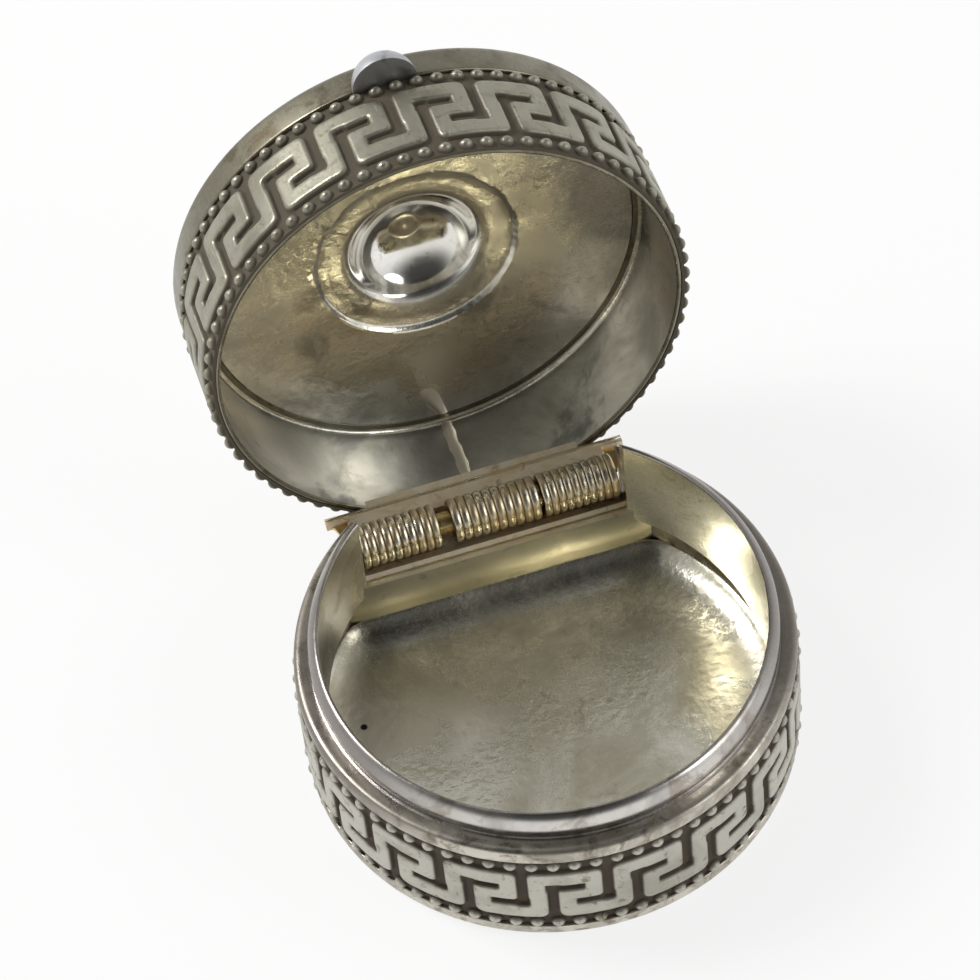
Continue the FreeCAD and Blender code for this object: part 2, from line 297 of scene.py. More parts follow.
def strip(foot, front_key, bead_shift, gap_half):
    """Key pattern between two bead rows, with a plain join behind; the gap leaves the back open."""
    middle = foot + STRIP_HEIGHT / 2
    pitch = KEY_STEP * (STRIP_FLOOR_R + KEY_RISE)
    count = round((2 * math.pi - 2 * gap_half) / KEY_STEP * STEPS_PER_KEY)
    start = math.pi / 2 + gap_half if gap_half else front_key
    turns = start + (2 * math.pi - 2 * gap_half) * np.arange(count + (1 if gap_half else 0)) / count
    half = STRIP_HEIGHT / 2
    edge = KEY_HEIGHT / 2 + 0.1
    heights = np.concatenate([[-half, -half], np.linspace(-edge, edge, STEPS_PER_KEY), [half, half]])
    low = (KEYS_IN_STRIP / 2 - 0.5) * KEY_STEP
    off = (turns - front_key + low) % (2 * math.pi) - low
    u = off - np.minimum(np.round(off / KEY_STEP), KEYS_IN_STRIP / 2) * KEY_STEP
    uu, vv = np.meshgrid(u / KEY_STEP * pitch, heights, indexing="ij")
    rise = key_relief(uu, vv, pitch)
    radius = STRIP_FLOOR_R + KEY_RISE * rise
    radius[:, 0] = radius[:, -1] = WALL_R
    if gap_half:
        radius[0, :] = radius[-1, :] = WALL_R
    tt = np.repeat(turns[:, None], len(heights), axis=1)
    points = np.stack([radius * np.cos(tt), radius * np.sin(tt), middle + vv], axis=-1).reshape(-1, 3)
    n = len(heights)
    faces = []
    for j in range(count):
        k = (j + 1) % len(turns)
        faces += [[j * n + i, k * n + i, k * n + i + 1, j * n + i + 1] for i in range(n - 1)]
    beads = []
    for i in range(int(2 * math.pi / KEY_STEP * BEADS_PER_KEY)):
        turn = front_key - low + KEY_STEP / BEADS_PER_KEY * (i + bead_shift)
        off_back = (turn - math.pi / 2 + math.pi) % (2 * math.pi) - math.pi
        if abs(off_back) > gap_half + 0.03 or not gap_half:
            beads += [bead(turn, middle - half + BEAD_INSET), bead(turn, middle + half - BEAD_INSET)]
    return joined([shape(points, faces, 0, rise)] + beads)


# Base wall

def base_wall():
    """Wall with a rounded foot and a rolled ledge, open behind and scalloped under the barrel."""
    foot = [(WALL_BORE_R, 0, 0), (RIM_R, 0, 0.45), (RIM_R, STRIP_FOOT, 0.2), (WALL_R, STRIP_FOOT, 0),
            (WALL_R, STOP_HEIGHT, 0), (WALL_BORE_R, STOP_HEIGHT, 0)]
    low = turned(rounded(foot, 6))
    x, y, z = low["points"].T
    room = np.maximum(SCALLOP_R ** 2 - (y - HINGE_Y) ** 2, 0)
    under = HINGE_Z - np.sqrt(room)
    scalloped = (np.abs(x) < NOTCH_HALF) & (y > 0) & (room > 0)
    low["points"][:, 2] = np.where(scalloped, np.minimum(z, under), z)
    ledge = [(WALL_BORE_R, STOP_HEIGHT, 0), (WALL_R, STOP_HEIGHT, 0), (WALL_R, LEDGE_FOOT, 0),
             (RIM_R, LEDGE_FOOT, 0.18), (RIM_R, BASE_HEIGHT, 0.8), (WALL_BORE_R, BASE_HEIGHT, 0)]
    return joined([low, turned(rounded(ledge, 7), notch=NOTCH_HALF)])


# Hinge

def ribbed_knuckle(start, end):
    """Knuckle with round ribs like a close coil."""
    around, per_rib = 40, 8
    steps = RIBS * per_rib
    places = [(start, KNUCKLE_BORE_R, 0.0)]
    for k in range(steps + 1):
        t = (k % per_rib) / per_rib * 2 - 1
        arch = math.sqrt(max(0, 1 - (0.98 * t) ** 2))
        places.append((start + (end - start) * k / steps, BARREL_R - RIB_RISE + RIB_RISE * arch, arch))
    places.append((end, KNUCKLE_BORE_R, 0.0))
    turn = 2 * math.pi * np.arange(around) / around
    levels = [np.column_stack([np.full(around, x), HINGE_Y + r * np.sin(turn), HINGE_Z + r * np.cos(turn)])
              for x, r, _ in places]
    made = rings(levels)
    made["relief"] = np.repeat([arch for _, _, arch in places], around)
    return made


def saddle(start, end):
    """Foot of a fixed knuckle, standing in the trough."""
    half, foot, top = 0.55, HINGE_Z - 1.7, HINGE_Z - 1.0
    made = block((start, HINGE_Y - half, foot), (end, HINGE_Y + half, top))
    made["relief"] *= 0.2
    return made


# Floor

def pan_ring(inset, height, share=1.0):
    """Outline of the floor, round in front and straight behind, drawn in by an inset."""
    turn = 2 * math.pi * np.arange(PAN_STEPS) / PAN_STEPS
    way = np.column_stack([np.cos(turn), np.sin(turn)])
    radius = WALL_BORE_R - inset
    ahead = way @ PAN_MIDDLE
    arc = -ahead + np.sqrt(ahead ** 2 + radius ** 2 - PAN_MIDDLE @ PAN_MIDDLE)
    level_way = 1e-3
    to_back = (BACK_WALL_Y - inset - PAN_MIDDLE[1]) / np.maximum(way[:, 1], level_way)
    straight = np.where(way[:, 1] > level_way, to_back, 1e3)
    reach = eased_least(arc, straight, PAN_CORNER_EASE) * share
    return np.column_stack([PAN_MIDDLE + way * reach[:, None], np.full(PAN_STEPS, height)])


def floor_pan():
    """Floor with a rim turned up all round, on a plain underside."""
    cove = [(0, 0.55), (0, 1.48), (0.05, 1.5), (0.14, 1.47), (0.36, 1.27), (0.7, 1.05), (1.1, 0.87), (1.55, 0.73),
            (2.05, 0.64), (2.6, 0.6)]
    levels = [pan_ring(inset, height) for inset, height in cove]
    levels += [pan_ring(*cove[-1], 1 - k / 8) for k in range(1, 8)]
    under = turned(rounded([(0.0, 0.0, 0), (WALL_BORE_R, 0.0, 0.05), (WALL_BORE_R, PAN_UNDERLAP, 0),
                            (0.0, PAN_UNDERLAP, 0)]))
    return joined([rings(levels, closed_end=True), under])


# Lid

def lid_top_outline():
    """Stamped top: dished sheet, stepped ring and hollow boss, with the sheet's thickness."""
    sheet = [(LID_TOP_R, 0.0), (12.9, 0.02), (12.5, 0.08), (11.0, 0.26), (9.0, 0.50), (7.0, 0.68), (6.5, 0.70)]
    ring = [(6.34, 0.72), (6.26, 0.80), (6.16, 0.93), (6.02, 0.99), (5.4, 1.03), (4.7, 1.09), (4.35, 1.16)]
    boss = [(4.1, 1.29), (3.92, 1.50), (3.72, 1.84), (3.45, 2.20), (3.1, 2.53), (2.7, 2.81), (2.2, 3.05),
            (1.65, 3.23), (1.1, 3.33), (0.95, 3.37), (0.8, 3.35), (0.0, 3.4)]
    outside = [(0.0, 3.85), (1.0, 3.8), (2.4, 3.4), (3.4, 2.75), (4.1, 1.85), (6.2, 1.45), (12.5, LID_TOP_GAUGE),
               (LID_TOP_R, LID_TOP_GAUGE)]
    return [(r, LID_WALL_TOP + h) for r, h in sheet + ring + boss + outside]


def stamped_top():
    """Stamped top with a ragged ring, as struck by hand, and a bright boss."""
    made = turned(lid_top_outline(), 360, finish=lambda a, b: int(max(a[0], b[0]) < BOSS_FINISH_R))
    x, y, z = made["points"].T
    turn = np.arctan2(y, x)
    near_ring = np.exp(-((np.hypot(x, y) - RING_R) / RING_EDGE) ** 2)
    slow, quick = np.sin(11 * turn + 3 * np.sin(2 * turn)), np.sin(61 * turn + 5 * np.sin(3 * turn + 1))
    ragged = (0.03 * slow + 0.012 * quick) * (0.55 + 0.45 * np.sin(2 * turn + 0.6))
    made["points"][:, 2] = z - near_ring * ragged
    return made


def plaque_outline():
    """Plain low dome, hollow below."""
    seat = LID_WALL_TOP + LID_TOP_GAUGE
    edge_height, rise, hollow_r = 0.8, 3.6, 12.5
    outside = [(LID_TOP_R * math.cos(t), seat + edge_height + rise * math.sin(t))
               for t in np.linspace(0, math.pi / 2, 26)]
    inside = [(hollow_r * math.cos(t), seat + rise * math.sin(t)) for t in np.linspace(math.pi / 2, 0, 14)]
    return [(LID_TOP_R, seat)] + [(max(r, 0.0), z) for r, z in outside + inside]


def thumbpiece():
    """Half-dome at the front of the rim, flat below."""
    around, up = 48, 12
    turn = 2 * math.pi * np.arange(around) / around
    levels = []
    for k in range(up):
        lift = math.pi / 2 * k / up
        reach = THUMB_R * math.cos(lift)
        height = LID_WALL_TOP + THUMB_PLINTH + THUMB_RISE * math.sin(lift)
        levels.append(np.column_stack([reach * np.cos(turn) + THUMB_X, -RIM_R + THUMB_SUNK + reach * np.sin(turn),
                                       np.full(around, height)]))
    under = levels[0] - np.array([0, 0, THUMB_PLINTH])
    return joined([rings([under] + levels, closed_end=True), shape(under, [list(range(around))])])


def capped(levels):
    """Skin over rings of points, closed at both ends."""
    return joined([rings(levels)] + [shape(end, [list(range(len(end)))]) for end in (levels[0], levels[-1])])


def leaf_lip():
    """Thin rounded lip along the leaf, from ear to ear."""
    around = 12
    turn = 2 * math.pi * np.arange(around) / around
    levels = []
    for x in np.linspace(-LEAF_HALF, LEAF_HALF, 60):
        ends = math.sqrt(max(0.05, 1 - (abs(x) / (LEAF_HALF + 0.03)) ** 40))
        thick = LIP_R * ends * (1 + 0.05 * math.sin(5.1 * x))
        levels.append(np.column_stack([np.full(around, x), LIP_Y + thick * np.cos(turn),
                                       LID_FOOT - LIP_DROP + thick * np.sin(turn)]))
    return capped(levels)


def leaf_webs():
    """Thin webs that bend from the leaf's ears towards the ends of the barrel."""
    outline = [(8.15, 8.65), (8.15, 6.75), (8.28, 6.5), (8.5, 6.42), (8.64, 6.7), (8.76, 7.2), (8.84, 7.7),
               (8.97, 8.15), (9.2, 8.48), (9.3, 8.65)]
    n = len(outline)
    faces = [list(range(n)), list(range(n, 2 * n))[::-1]]
    faces += [[i, (i + 1) % n, n + (i + 1) % n, n + i] for i in range(n)]
    webs = [[(side * x, y, z) for y in (WEB_NEAR_Y, WEB_FAR_Y) for x, z in outline] for side in (-1, 1)]
    return joined([shape(points, faces) for points in webs])


def solder_run(places):
    """Run of solder through places, each a point, a half width and the way (y, z) that it stands away from."""
    arch = [(-1, 0.0), (-0.6, 0.05), (0, 0.07), (0.6, 0.05), (1, 0.0)]
    sunk = 0.08
    levels = []
    for x, y, z, wide, out in places:
        over = [[x + wide * a, y - up * out[0], z - up * out[1]] for a, up in arch]
        levels.append(np.array(over + [[x, y + sunk * out[0], z + sunk * out[1]]]))
    return capped(levels)


def seam():
    """Solder seam down the inside of the lid's wall, over the hinge, and its tail on the stamped top."""
    wall, tail = [], []
    for h in np.linspace(0.6, 6.6, 14):
        wide = 0.36 + 0.05 * math.sin(9.1 * h)
        wall.append((0.03 * math.sin(2.3 * h), LID_BORE_R - 0.02, LID_FOOT + h, wide, (1, 0)))
    for t in np.linspace(0, 1, 17):
        wide = (0.24 + 0.45 * t) * math.sqrt(1 - t ** 5) + 0.02
        tail.append((-0.9 * t, 13.3 - 2.3 * t, LID_WALL_TOP + 0.27 * t - 0.03, wide, (0, 1 - t ** 3)))
    return joined([solder_run(wall), solder_run(tail)])


# Finishes

def new_group(name, inputs, outputs):
    """Empty shader group with named value sockets."""
    tree = bpy.data.node_groups.new(name, "ShaderNodeTree")
    for label, value in inputs.items():
        made = tree.interface.new_socket(label, in_out="INPUT", socket_type="NodeSocketFloat")
        made.default_value = value
    for label in outputs:
        tree.interface.new_socket(label, in_out="OUTPUT", socket_type="NodeSocketFloat")
    return tree, tree.nodes.new("NodeGroupInput"), tree.nodes.new("NodeGroupOutput")


def put(tree, kind, links=None, **values):
    """Adds a node, sets its properties and joins its inputs."""
    node = tree.nodes.new(kind)
    for label, value in values.items():
        setattr(node, label, value)
    for label, source in (links or {}).items():
        target = node.inputs[label]
        if isinstance(source, bpy.types.NodeSocket):
            tree.links.new(source, target)
        else:
            target.default_value = source
    return node


def math_node(tree, operation, a, b=0.0):
    """One sum on two values."""
    return put(tree, "ShaderNodeMath", {0: a, 1: b}, operation=operation).outputs[0]


def stretched(tree, value, low, high):
    """Value stretched from a range to 0 and 1, with soft ends."""
    made = put(tree, "ShaderNodeMapRange", {0: value, 1: low, 2: high}, interpolation_type="SMOOTHSTEP")
    return made.outputs[0]


def cloud_group():
    """Cloudy masks for tarnish and other cloudy marks, and for the painted reflection patches of the insides: broad
    patches and a finer break-up.
    """
    tree, given, out = new_group("tarnish and painted reflection clouds", {"Scale": 300.0, "Low": 0.4, "High": 0.65},
                                 ["Mask", "Fine"])
    place = put(tree, "ShaderNodeTexCoord").outputs["Object"]
    broad = put(tree, "ShaderNodeTexNoise", {"Vector": place, "Scale": given.outputs["Scale"], "Detail": 6.0,
                                             "Roughness": 0.62, "Distortion": 0.6})
    finer = math_node(tree, "MULTIPLY", given.outputs["Scale"], 9.0)
    fine = put(tree, "ShaderNodeTexNoise", {"Vector": place, "Scale": finer, "Detail": 3.0})
    mask = stretched(tree, broad.outputs[0], given.outputs["Low"], given.outputs["High"])
    tree.links.new(mask, out.inputs["Mask"])
    tree.links.new(fine.outputs[0], out.inputs["Fine"])
    return tree


def scratch_group():
    """Fine scratches of handling, in two crossing directions."""
    tree, given, out = new_group("handling scratches", {"Scale": 500.0, "Width": 0.02}, ["Mask"])
    place = put(tree, "ShaderNodeTexCoord").outputs["Object"]
    masks = []
    for turn, stretch in (((0.3, 0.5, 0.4), (1.0, 14.0, 10.0)), ((1.1, -0.4, 1.2), (12.0, 1.0, 9.0))):
        laid = put(tree, "ShaderNodeMapping", {"Vector": place, "Rotation": turn, "Scale": stretch})
        lines = put(tree, "ShaderNodeTexNoise", {"Vector": laid.outputs[0], "Scale": given.outputs["Scale"],
                                                 "Detail": 2.0})
        off = math_node(tree, "ABSOLUTE", math_node(tree, "SUBTRACT", lines.outputs[0], 0.5))
        masks.append(math_node(tree, "SUBTRACT", 1.0, stretched(tree, off, 0.0, given.outputs["Width"])))
    tree.links.new(math_node(tree, "MAXIMUM", *masks), out.inputs["Mask"])
    return tree


def peel_group():
    """Uneven skin of thin stamped sheet."""
    tree, given, out = new_group("stamped skin", {"Scale": 1500.0}, ["Height"])
    place = put(tree, "ShaderNodeTexCoord").outputs["Object"]
    grain = put(tree, "ShaderNodeTexNoise", {"Vector": place, "Scale": given.outputs["Scale"], "Detail": 3.0})
    slow = math_node(tree, "MULTIPLY", given.outputs["Scale"], 0.16)
    waves = put(tree, "ShaderNodeTexNoise", {"Vector": place, "Scale": slow, "Detail": 1.0})
    waves_up = math_node(tree, "MULTIPLY", waves.outputs[0], 3.0)
    tree.links.new(math_node(tree, "ADD", grain.outputs[0], waves_up), out.inputs["Height"])
    return tree


def relief_group():
    """Crest and hollow of worked metal, from the relief kept on the points."""
    tree, given, out = new_group("worked relief", {"Low": 0.35, "High": 0.8}, ["Crest", "Hollow"])
    kept = put(tree, "ShaderNodeAttribute", attribute_name="relief").outputs["Fac"]
    crest = stretched(tree, kept, given.outputs["Low"], given.outputs["High"])
    tree.links.new(crest, out.inputs["Crest"])
    tree.links.new(math_node(tree, "SUBTRACT", 1.0, crest), out.inputs["Hollow"])
    return tree


CLOUDS, SCRATCHES, PEEL, RELIEF = cloud_group(), scratch_group(), peel_group(), relief_group()


def use(tree, group, **values):
    """Places a group in a material with its own values."""
    node = tree.nodes.new("ShaderNodeGroup")
    node.node_tree = group
    for label, value in values.items():
        node.inputs[label].default_value = value
    return node.outputs


def tint(tree, amount, a, b):
    """Mix of two colours; each is a colour or a socket."""
    node = put(tree, "ShaderNodeMix", data_type="RGBA")
    for index, source in ((0, amount), (6, a), (7, b)):
        if isinstance(source, bpy.types.NodeSocket):
            tree.links.new(source, node.inputs[index])
        else:
            node.inputs[index].default_value = source if index == 0 else (*source, 1.0)
    return node.outputs[2]


def level(tree, amount, low, high):
    """Value between two levels."""
    return put(tree, "ShaderNodeMapRange", {0: amount, 3: low, 4: high}).outputs[0]


def new_finish(name, metallic=1.0):
    """Empty material with its shader."""
    finish = bpy.data.materials.new(name)
    finish.use_nodes = True
    tree = finish.node_tree
    tree.nodes.clear()
    skin = tree.nodes.new("ShaderNodeBsdfPrincipled")
    skin.inputs["Metallic"].default_value = metallic
    tree.links.new(skin.outputs[0], tree.nodes.new("ShaderNodeOutputMaterial").inputs[0])
    return finish, tree, skin


def set_surface(tree, skin, colour, roughness, height, depth):
    """Joins colour, roughness and a bump of a depth in mm to the shader."""
    tree.links.new(colour, skin.inputs["Base Color"])
    tree.links.new(roughness, skin.inputs["Roughness"])
    bump = put(tree, "ShaderNodeBump", {"Height": height, "Distance": depth * MM, "Strength": 1.0})
    tree.links.new(bump.outputs[0], skin.inputs["Normal"])


def spotted(tree, colour, spots):
    """Colour with soft spots: each has a place, the distances where it starts and ends to fade, and a colour. Most
    spots are painted shade and painted reflections; one on the floor is a real pit.
    """
    for place, near, far, pit_and_painted_light_colour in spots:
        here = put(tree, "ShaderNodeTexCoord").outputs["Object"]
        away = put(tree, "ShaderNodeVectorMath", {0: here, 1: [v * MM for v in place]}, operation="DISTANCE")
        colour = tint(tree, stretched(tree, away.outputs["Value"], near * MM, far * MM), pit_and_painted_light_colour, colour)
    return colour


def worked_silver(name, light, dark, hollow):
    """Strips: worn bars and beads over brown hollows."""
    finish, tree, skin = new_finish(name)
    relief = use(tree, RELIEF, Low=0.45, High=0.95)
    cloud = use(tree, CLOUDS, Scale=260.0, Low=0.42, High=0.68)
    speck = use(tree, CLOUDS, Scale=1500.0, Low=0.56, High=0.70)
    scratch = use(tree, SCRATCHES, Scale=420.0, Width=0.012)
    bars = tint(tree, cloud["Mask"], light, dark)
    bars = tint(tree, speck["Mask"], bars, (0.24, 0.20, 0.14))
    colour = tint(tree, relief["Hollow"], bars, hollow)
    rough = level(tree, relief["Hollow"], 0.38, 0.8)
    rough = math_node(tree, "ADD", rough, level(tree, scratch["Mask"], 0.0, 0.12))
    tree.links.new(level(tree, relief["Hollow"], 1.0, 0.0), skin.inputs["Metallic"])
    height = math_node(tree, "SUBTRACT", cloud["Fine"], scratch["Mask"])
    set_surface(tree, skin, colour, rough, height, 0.006)
    return finish


def plain_silver(name, light, dark, brown, rough_low, rough_high, scale, spots=()):
    """Rims, ledge, neck and thumbpiece: handled silver with brown tarnish, scratches and spots of painted shade."""
    finish, tree, skin = new_finish(name)
    cloud = use(tree, CLOUDS, Scale=scale, Low=0.38, High=0.66)
    stain = use(tree, CLOUDS, Scale=scale * 2.3, Low=0.52, High=0.66)
    scratch = use(tree, SCRATCHES, Scale=480.0, Width=0.014)
    colour = tint(tree, cloud["Mask"], light, dark)
    colour = tint(tree, math_node(tree, "MULTIPLY", stain["Mask"], 0.75), colour, brown)
    # Spots: painted shade towards the sides.
    colour = spotted(tree, colour, spots)
    colour = tint(tree, math_node(tree, "MULTIPLY", scratch["Mask"], 0.16), colour, (0.64, 0.62, 0.56))
    rough = level(tree, cloud["Mask"], rough_low, rough_high)
    height = math_node(tree, "SUBTRACT", cloud["Fine"], math_node(tree, "MULTIPLY", scratch["Mask"], 0.25))
    set_surface(tree, skin, colour, rough, height, 0.002)
    return finish


def inside_silver(name, light, dark, rough_low, rough_high, skin_depth, slate=0.0, spots=()):
    """Insides: yellowed sheet with an uneven stamped skin, slate patches that are painted reflections of dark
    surroundings, and spots of painted shade and painted reflection besides a real pit.
    """
    finish, tree, skin = new_finish(name)
    cloud = use(tree, CLOUDS, Scale=170.0, Low=0.36, High=0.68)
    stain = use(tree, CLOUDS, Scale=900.0, Low=0.58, High=0.74)
    scratch = use(tree, SCRATCHES, Scale=380.0, Width=0.01)
    peel = use(tree, PEEL, Scale=1700.0)
    colour = tint(tree, cloud["Mask"], light, dark)
    colour = tint(tree, math_node(tree, "MULTIPLY", stain["Mask"], 0.5), colour, (0.36, 0.30, 0.20))
    # Slate patches: painted reflections of dark surroundings, as strong as the slate share asks.
    patch = use(tree, CLOUDS, Scale=115.0, Low=0.52, High=0.62)
    colour = tint(tree, math_node(tree, "MULTIPLY", patch["Mask"], slate), colour, (0.23, 0.24, 0.235))
    # Spots: painted shade and painted reflections, besides a real pit on the floor.
    colour = spotted(tree, colour, spots)
    rough = level(tree, cloud["Mask"], rough_low, rough_high)
    rough = math_node(tree, "ADD", rough, level(tree, scratch["Mask"], 0.0, 0.1))
    set_surface(tree, skin, colour, rough, peel["Height"], skin_depth)
    return finish


def gilt(name, bright, dull, hollow, ribbed=False, dulled=0.0, metallic=1.0):
    """Hinge: gilding worn to silver on the crests, brown between the ribs or in stains."""
    finish, tree, skin = new_finish(name, metallic)
    cloud = use(tree, CLOUDS, Scale=420.0, Low=0.38, High=0.64)
    stain = use(tree, CLOUDS, Scale=1100.0, Low=0.56, High=0.74)
    scratch = use(tree, SCRATCHES, Scale=600.0, Width=0.02)
    colour = tint(tree, cloud["Mask"], bright, dull)
    low_places = use(tree, RELIEF, Low=0.12, High=0.7)["Hollow"] if ribbed else stain["Mask"]
    colour = tint(tree, low_places, colour, hollow)
    rough = level(tree, cloud["Mask"], 0.22 + dulled, 0.38 + dulled)
    rough = math_node(tree, "ADD", rough, level(tree, scratch["Mask"], 0.0, 0.1))
    set_surface(tree, skin, colour, rough, cloud["Fine"], 0.002)
    return finish


def plain_enamel():
    """Plaque: plain ivory enamel with a faint cloud and fine pits under a clear gloss."""
    finish, tree, skin = new_finish("plain enamel", 0.0)
    cloud = use(tree, CLOUDS, Scale=140.0, Low=0.35, High=0.7)
    pits = use(tree, CLOUDS, Scale=2600.0, Low=0.68, High=0.76)
    colour = tint(tree, cloud["Mask"], (0.72, 0.68, 0.58), (0.64, 0.60, 0.50))
    colour = tint(tree, pits["Mask"], colour, (0.36, 0.31, 0.24))
    rough = level(tree, pits["Mask"], 0.16, 0.5)
    skin.inputs["Coat Weight"].default_value = 0.6
    skin.inputs["Coat Roughness"].default_value = 0.06
    set_surface(tree, skin, colour, rough, math_node(tree, "SUBTRACT", cloud["Fine"], pits["Mask"]), 0.004)
    return finish


WORKED = worked_silver("worked silver", (0.53, 0.51, 0.445), (0.39, 0.37, 0.31), (0.085, 0.066, 0.045))
# Lid strip: the worked silver again, made darker than the base strip's, as painted shade.
LID_WORKED_IN_PAINTED_SHADE = worked_silver("lid worked silver in painted shade", (0.37, 0.355, 0.285), (0.265, 0.25, 0.195),
                           (0.095, 0.078, 0.052))
# Ledge: darker towards the left and right sides, painted shade.
LEDGE = plain_silver("ledge silver", (0.64, 0.60, 0.52), (0.37, 0.34, 0.285), (0.19, 0.145, 0.09),
                     0.24, 0.46, 430.0,
                     spots=[((x, 0.0, 9.0), 5.0, 15.0, (0.24, 0.215, 0.185)) for x in (-14.0, 14.0)])
# Neck: darker towards the left and right sides, painted shade.
NECK = plain_silver("neck silver", (0.66, 0.63, 0.595), (0.48, 0.455, 0.43), (0.33, 0.285, 0.235),
                    0.20, 0.34, 210.0,
                    spots=[((x, 0.0, 9.0), 5.0, 15.0, (0.27, 0.25, 0.235)) for x in (-14.0, 14.0)])
RIM = plain_silver("rim silver", (0.24, 0.225, 0.17), (0.175, 0.16, 0.115), (0.11, 0.085, 0.05),
                   0.26, 0.44, 180.0)
# Thumbpiece: a paler, cooler copy of the lid silver, a painted highlight.
THUMB_PAINTED_HIGHLIGHT = plain_silver("thumb silver with painted highlight", (0.52, 0.53, 0.55), (0.42, 0.425, 0.435), (0.28, 0.265, 0.24),
                      0.40, 0.52, 260.0)
# Sleeve: the dark brown spot at the back left is painted shade in the inside corner.
SLEEVE = inside_silver("sleeve silver", (0.93, 0.885, 0.71), (0.74, 0.69, 0.52), 0.20, 0.38, 0.012,
                       spots=[((-11.6, 6.0, 6.5), 4.5, 9.5, (0.125, 0.107, 0.070))])
BACK_WALL = inside_silver("back wall silver", (0.98, 0.93, 0.75), (0.86, 0.80, 0.62), 0.28, 0.44, 0.012)
# Floor: the dim spot at the back left is painted shade in the corner and the pale patch at the left a painted
# reflection; the tiny dark spot is a pit.
FLOOR = inside_silver("floor silver", (0.95, 0.915, 0.77), (0.55, 0.51, 0.39), 0.19, 0.36, 0.032,
                      spots=[((-9.5, 8.5, 1.0), 0.8, 3.2, (0.42, 0.40, 0.31)),
                             ((-8.0, -0.5, 0.6), 2.0, 7.0, (1.0, 0.965, 0.83)),
                             ((-10.87, 3.07, 0.6), 0.16, 0.26, (0.04, 0.035, 0.03))])
# Lid inside: the slate patches are painted reflections of dark surroundings, the dark spot at the right painted
# shade and the pale spot low down a painted reflection.
LID_INSIDE = inside_silver("lid inside silver", (0.98, 0.935, 0.81), (0.63, 0.595, 0.50), 0.15, 0.33, 0.030,
                           slate=0.6, spots=[((10.0, 23.8, 18.3), 2.0, 6.5, (0.44, 0.41, 0.33)),
                                             ((-2.2, 22.7, 8.4), 1.5, 5.5, (1.0, 0.97, 0.87))])
# Lid wall: the slate patches are painted reflections of dark surroundings and the two dark spots low by the hinge
# painted shade.
LID_WALL = inside_silver("lid wall silver", (0.78, 0.76, 0.70), (0.48, 0.47, 0.42), 0.32, 0.50, 0.018,
                         slate=0.8, spots=[((-2.9, 19.6, 3.4), 1.5, 5.0, (0.33, 0.335, 0.31)),
                                           ((-9.2, 19.8, 6.6), 1.0, 4.5, (0.40, 0.39, 0.35))])
BOSS = inside_silver("boss silver", (0.88, 0.87, 0.83), (0.76, 0.74, 0.68), 0.05, 0.12, 0.002)
SEAM = inside_silver("seam solder", (0.95, 0.90, 0.79), (0.84, 0.78, 0.66), 0.4, 0.55, 0.008)
GILT = gilt("hinge gilt", (0.93, 0.86, 0.70), (0.78, 0.64, 0.41), (0.30, 0.20, 0.10), ribbed=True)
LEAF = gilt("leaf gilt", (0.96, 0.87, 0.69), (0.84, 0.71, 0.50), (0.50, 0.36, 0.20), dulled=0.26, metallic=0.7)
LIP = gilt("lip gilt", (0.93, 0.85, 0.66), (0.80, 0.66, 0.42), (0.60, 0.42, 0.20))
BRASS = gilt("pin brass", (0.80, 0.62, 0.30), (0.62, 0.45, 0.20), (0.40, 0.27, 0.10))
ENAMEL = plain_enamel()


# Pieces of the base

add_piece("worked_strip_base", strip(STRIP_FOOT, BASE_KEY, -0.17, math.asin(NOTCH_HALF / WALL_R)),
          "base", ["base_strip"], [WORKED], 60)

sleeve = [(SLEEVE_BORE_R, SLEEVE_FOOT + 0.1), (SLEEVE_BORE_R + 0.1, SLEEVE_FOOT), (WALL_BORE_R, SLEEVE_FOOT),
          (WALL_BORE_R, BASE_HEIGHT - 0.02), (13.66, BASE_HEIGHT + 0.02)]
neck = [(13.64, 8.95), (13.70, 9.12), (13.77, 9.35), (13.8, 9.65), (13.78, 9.95), (13.71, 10.22), (13.60, 10.45),
        (13.47, 10.61), (13.34, 10.71), (13.25, NECK_TOP), (13.17, NECK_TOP), (13.12, 10.71),
        (SLEEVE_BORE_R, 10.64)]
neck_and_sleeve = turned(sleeve + neck, notch=NOTCH_HALF, end_finish=1,
                         finish=lambda a, b: int(max(a[0], b[0]) < SLEEVE_BORE_R + 0.015))
add_piece("neck_and_sleeve", neck_and_sleeve, "base", ["neck_sleeve"], [NECK, SLEEVE])

add_piece("dished_floor", floor_pan(), "base", ["floor_pan"], [FLOOR])

knuckles = {"left": (-BARREL_HALF, -3.15, "base"), "middle": (-2.3, 3.15, "lid"),
            "right": (3.35, BARREL_HALF, "base")}
for side, (start, end, body) in knuckles.items():
    made = ribbed_knuckle(start, end)
    if body == "base":
        made = joined([made, saddle(start, end)])
    node = "lid_knuckle" if body == "lid" else f"base_knuckle_{side}"
    add_piece(f"ribbed_knuckle_{side}", made, body, [node], [GILT], 50)

add_piece("rounded_base_wall", base_wall(), "base", ["base_wall"], [LEDGE])
dress_node("back_wall", BACK_WALL, 0.06)
dress_node("hinge_trough", LEAF, 0.06)
dress_node("hinge_pin", BRASS, 0.06)

# Pieces of the lid

